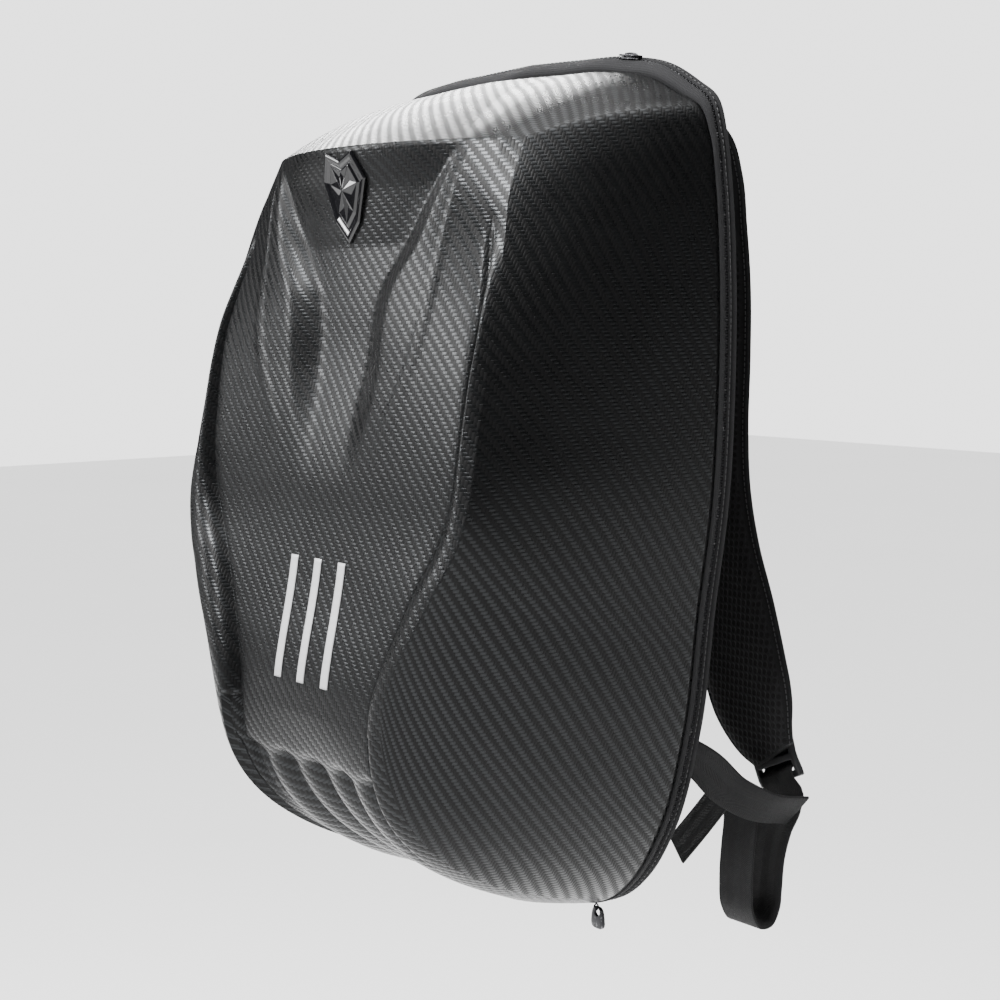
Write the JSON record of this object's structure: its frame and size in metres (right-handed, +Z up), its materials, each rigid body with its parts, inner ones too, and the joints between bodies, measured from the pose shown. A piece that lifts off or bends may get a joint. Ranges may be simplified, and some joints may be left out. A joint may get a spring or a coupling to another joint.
{
  "type": "motorcycle backpack",
  "caption": "Hard-shell motorcycle backpack with a moulded carbon-look front, fabric zip band, padded back and padded shoulder straps with adjusting webbing.",
  "frame": {"origin": "middle of the wearer's side, on the rear face of the back pads, halfway up the bag", "axes": "+X to the right seen from the shell's front, +Y out of the wearer's side towards the wearer's back, +Z up"},
  "size_m": [0.3106, 0.2496, 0.4943],
  "materials": {
    "carbon_look_shell": "satin carbon-fibre twill look",
    "band_fabric": "dark woven fabric",
    "pad_fabric": "black air mesh",
    "strap_fabric": "black woven fabric over foam",
    "webbing": "black woven strap",
    "black_plastic": "satin moulded plastic",
    "gloss_black": "high gloss",
    "reflective_grey": "light grey retroreflective film",
    "zip_metal": "blackened metal"
  },
  "bodies": {
    "root": {"shell": "carbon_look_shell", "zip_band": "band_fabric", "back_panel": "pad_fabric", "back_pad_upper": "pad_fabric", "back_pad_lower": "pad_fabric", "badge": "gloss_black", "strip_left": "reflective_grey", "strip_middle": "reflective_grey", "strip_right": "reflective_grey", "zip_slider_top": "zip_metal", "zip_slider_bottom": "zip_metal", "zip_pull_bottom": "zip_metal", "strap_right": "strap_fabric", "strap_left": "strap_fabric", "ladder_lock_right": "black_plastic", "ladder_lock_left": "black_plastic", "anchor_webbing_right": "webbing", "anchor_webbing_left": "webbing", "webbing_loop_right": "webbing", "webbing_loop_left": "webbing", "webbing_end_right": "webbing", "webbing_end_left": "webbing"}
  },
  "joints": []
}
